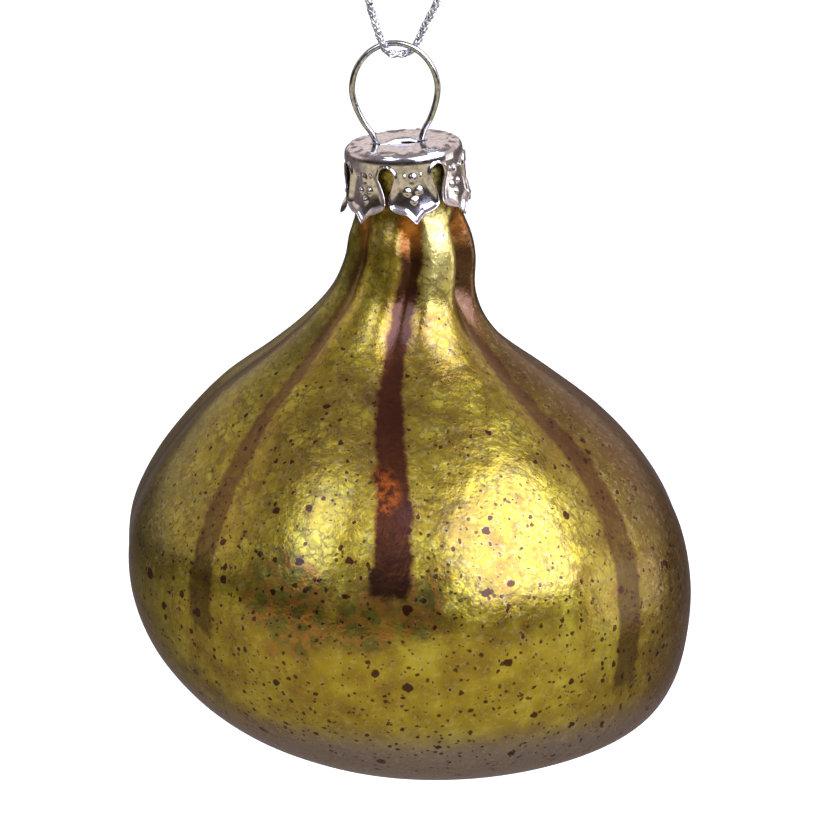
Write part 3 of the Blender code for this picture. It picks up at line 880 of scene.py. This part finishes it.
def cap_tree(material):
    """The seventh repeated round the crown, joined, with a strap raised across the middle of the top."""
    tree, given, result = new_tree("repeat round the crown", {"Count": 0, "Rise": 0.0, "Strap Width": 0.0})
    line = add_node(tree, "GeometryNodeMeshLine", {},
                    {"Count": given["Count"], "Offset": (0, 0, 0)}).outputs[0]
    index = add_node(tree, "GeometryNodeInputIndex").outputs[0]
    turn = add_node(tree, *MULTIPLY, (index, 2 * math.pi)).outputs[0]
    turn = add_node(tree, *DIVIDE, (turn, given["Count"])).outputs[0]
    spin = add_node(tree, "ShaderNodeCombineXYZ", {}, {"Z": turn}).outputs[0]
    copies = add_node(tree, "GeometryNodeInstanceOnPoints", {}, {
        "Points": line, "Instance": given["Geometry"], "Rotation": spin}).outputs[0]
    real = add_node(tree, "GeometryNodeRealizeInstances", {}, (copies,)).outputs[0]
    joined = add_node(tree, "GeometryNodeMergeByDistance", {},
                      {"Geometry": real, "Distance": SEAM_REACH}).outputs[0]
    position = add_node(tree, "GeometryNodeInputPosition").outputs[0]
    place = add_node(tree, "ShaderNodeSeparateXYZ", {}, (position,))
    across = add_node(tree, *DIVIDE, (place.outputs["Y"], given["Strap Width"])).outputs[0]
    across = add_node(tree, "ShaderNodeMath", {"operation": "POWER"}, (across, 4.0)).outputs[0]
    across = add_node(tree, *MULTIPLY, (across, -1.0)).outputs[0]
    across = add_node(tree, "ShaderNodeMath", {"operation": "EXPONENT"}, (across,)).outputs[0]
    along = add_node(tree, "ShaderNodeMath", {"operation": "ABSOLUTE"}, (place.outputs["X"],)).outputs[0]
    along = add_node(tree, *SOFT_RISE, (along, *STRAP_FADE)).outputs[0]
    rise = add_node(tree, *MULTIPLY, (across, along)).outputs[0]
    rise = add_node(tree, *MULTIPLY, (rise, given["Rise"])).outputs[0]
    offset = add_node(tree, "ShaderNodeCombineXYZ", {}, {"Z": rise}).outputs[0]
    raised = add_node(tree, "GeometryNodeSetPosition", {}, {"Geometry": joined, "Offset": offset}).outputs[0]
    return finish_tree(tree, raised, material, result)


STRAP_RISE = 0.6
STRAP_WIDTH = 0.7
STAMPED_TIN = stamped_tin()
points, faces = petal_mesh()
first_turn = Matrix.Rotation(math.radians(PETAL_FIRST), 3, "Z")
holder = add_mesh_object("petal", [first_turn @ Vector(p) for p in points], (), faces)
add_tree(holder, cap_tree(STAMPED_TIN), {"Count": PETALS, "Rise": STRAP_RISE, "Strap Width": STRAP_WIDTH})
wall = holder.modifiers.new("wall", "SOLIDIFY")
wall.thickness = CAP_WALL
wall.offset = -1
cap = plain_mesh(holder, "crown_cap_skin")

# %% Holes for the wire's feet, and the slot between them
WIRE_SHIFT = -0.5
LEG_HOLE_RADIUS = 0.75
LEG_HOLE_REACH = 2.85
CUT_DEPTH = 4
SLOT_FORWARD = -0.85
SLOT_LENGTH = 5.2
SLOT_WIDTH = 0.7
cutter = bmesh.new()
for side in (-1, 1):
    leg_place = Matrix.Translation((WIRE_SHIFT + side * LEG_HOLE_REACH, 0, 0))
    bmesh.ops.create_cone(cutter, cap_ends=True, segments=32, radius1=LEG_HOLE_RADIUS,
                          radius2=LEG_HOLE_RADIUS, depth=CUT_DEPTH, matrix=leg_place)
hole_mesh = bpy.data.meshes.new("holes")
cutter.to_mesh(hole_mesh)
cutter.free()
holes = bpy.data.objects.new("holes", hole_mesh)
bpy.context.scene.collection.objects.link(holes)
slot_mesh = bmesh.new()
slot_place = Matrix.Translation((WIRE_SHIFT, SLOT_FORWARD, 0))
slot_size = Matrix.Diagonal((SLOT_LENGTH, SLOT_WIDTH, CUT_DEPTH, 1))
bmesh.ops.create_cube(slot_mesh, size=1, matrix=slot_place @ slot_size)
slot_data = bpy.data.meshes.new("slot")
slot_mesh.to_mesh(slot_data)
slot_mesh.free()
slot = bpy.data.objects.new("slot", slot_data)
bpy.context.scene.collection.objects.link(slot)
for tool in (holes, slot):
    cut = cap.modifiers.new("cut", "BOOLEAN")
    cut.operation = "DIFFERENCE"
    cut.solver = "EXACT"
    cut.object = tool
cap = plain_mesh(cap, "crown_cap_skin")
for tool in (holes, slot):
    bpy.data.objects.remove(tool)
cap.data.transform(CROWN @ Matrix.Diagonal((MM, MM, MM, 1)))
finish_piece(cap, "crown_cap")

# %% [markdown]
# ## The wire loop
# One length of springy steel wire is bent into a loop. Its two legs are squeezed through the holes in
# the cap and spread again inside the neck, which holds the cap on.

# %% Wire
WIRE_RADIUS = 0.375
LOOP_HALF_WIDTH = 5.28
LOOP_RISE = 5.9
LOOP_WAIST = 6.6
LOOP_STEPS = 12
WIRE_STEPS = 6
WIRE_SIDES = 24
# Each bend of a leg, from the loop down: half the width there, and its height.
LEG = ((4.95, 4.8), (4.15, 2.8), (3.2, 1.2), (2.8, -0.5),
       (3.0, -4.0), (3.5, -8.5), (4.1, -13.0), (4.8, -17.5))


def wire_tree(material):
    """A round tube along a path."""
    tree, given, result = new_tree("bent wire", {"Radius": 0.0, "Sides": 0})
    path = add_node(tree, "GeometryNodeMeshToCurve", {}, {"Mesh": given["Geometry"]}).outputs[0]
    profile = add_node(tree, "GeometryNodeCurvePrimitiveCircle", {"mode": "RADIUS"},
                       {"Resolution": given["Sides"], "Radius": given["Radius"]}).outputs[0]
    tube = add_node(tree, "GeometryNodeCurveToMesh", {},
                    {"Curve": path, "Profile Curve": profile, "Fill Caps": True}).outputs[0]
    return finish_tree(tree, tube, material, result)


bends = [(WIRE_SHIFT + half, 0, h) for half, h in reversed(LEG)]
for step in range(LOOP_STEPS + 1):
    t = math.pi * step / LOOP_STEPS
    bends.append((WIRE_SHIFT + LOOP_HALF_WIDTH * math.cos(t), 0, LOOP_WAIST + LOOP_RISE * math.sin(t)))
bends += [(WIRE_SHIFT - half, 0, h) for half, h in LEG]
holder = add_polyline("wire", [CROWN @ (p * MM) for p in smooth_path(bends, WIRE_STEPS)])
add_tree(holder, wire_tree(drawn_wire()), {"Radius": WIRE_RADIUS * MM, "Sides": WIRE_SIDES})
finish_piece(plain_mesh(holder, "wire_loop"), "wire_hanger")

# %% [markdown]
# ## The studio
# A plain pale floor lies below the hanging bulb. Mirrors show what surrounds them, so the world is
# painted for glossy rays: a bright floor in front, a darker line at its far edge, and a soft grey room
# above and behind. A large soft light stands high to the right of the camera, a weak one high to the
# left, and a very weak one at the right side.

# %% Floor, world and lights
FLOOR_DROP = 0.14
FLOOR_HALF = 6
corners = [(x * FLOOR_HALF, y * FLOOR_HALF, BASE - FLOOR_DROP)
           for x, y in ((-1, -1), (1, -1), (1, 1), (-1, 1))]
floor = add_mesh_object("floor", corners, (), [(0, 1, 2, 3)])
floor_paint, _, floor_shader = new_material("matt_white_floor")
floor_shader.inputs["Base Color"].default_value = linear("#F6F6F5")
floor_shader.inputs["Roughness"].default_value = 1.0
floor.data.materials.append(floor_paint)
floor.visible_glossy = False

world = bpy.data.worlds.new("studio")
bpy.context.scene.world = world
world.use_nodes = True
tree = world.node_tree
direction = add_node(tree, "ShaderNodeTexCoord").outputs["Generated"]
way = add_node(tree, "ShaderNodeSeparateXYZ", {}, (direction,))
rise = add_node(tree, *MULTIPLY_ADD, (way.outputs["Z"], 0.5, 0.5)).outputs[0]
FRONT = ((0.0, "#B0A8A6"), (0.06, "#CCC6A8"), (0.4, "#E4DCBC"), (0.445, "#322E2C"),
         (0.53, "#322E2C"), (0.62, "#68666A"), (1.0, "#A2A0A4"))
BEHIND = ((0.0, "#B0A8A6"), (0.3, "#8C8284"), (0.45, "#6A6064"), (0.52, "#766E72"),
          (0.6, "#F4E8E6"), (0.72, "#F4E8E6"), (0.85, "#968E92"), (1.0, "#A2A0A4"))
front, behind = [
    add_node(tree, "ShaderNodeValToRGB", {"stops": stops}, (rise,)).outputs["Color"]
    for stops in (FRONT, BEHIND)]
to_back = add_node(tree, *SOFT_RISE, (way.outputs["Y"], -0.3, 0.3)).outputs[0]
room = add_node(tree, *MIX, {0: to_back, 6: front, 7: behind}).outputs[2]
glossy = add_node(tree, "ShaderNodeLightPath").outputs["Is Glossy Ray"]
seen = add_node(tree, *MIX, {0: glossy, 6: linear("#FFFFFF"), 7: room}).outputs[2]
tree.links.new(seen, tree.nodes["Background"].inputs["Color"])
tree.nodes["Background"].inputs["Strength"].default_value = 1.08


def soft_light(name, azimuth, elevation, distance, width, height, power, colour="#FFFFFF"):
    """A soft box that faces the bulb. Azimuth is measured from the front, towards the right."""
    lamp = bpy.data.lights.new(name, "AREA")
    lamp.shape = "RECTANGLE"
    lamp.size = width
    lamp.size_y = height
    lamp.energy = power
    lamp.color = linear(colour)[:3]
    box = bpy.data.objects.new(name, lamp)
    turn, rise = math.radians(azimuth), math.radians(elevation)
    away = Vector((math.sin(turn) * math.cos(rise), -math.cos(turn) * math.cos(rise), math.sin(rise)))
    box.location = AIM + distance * away
    box.rotation_euler = away.to_track_quat("Z", "Y").to_euler()
    box.visible_camera = False
    bpy.context.scene.collection.objects.link(box)


soft_light("key", 54, 37, 0.8, 0.95, 0.78, 17, "#D2DAFF")
soft_light("fill", -34, 46, 0.8, 0.3, 0.5, 2.5, "#CCD8FF")
soft_light("side", 100, -2, 0.8, 0.3, 0.3, 0.5)
bpy.context.scene.view_settings.view_transform = "Standard"
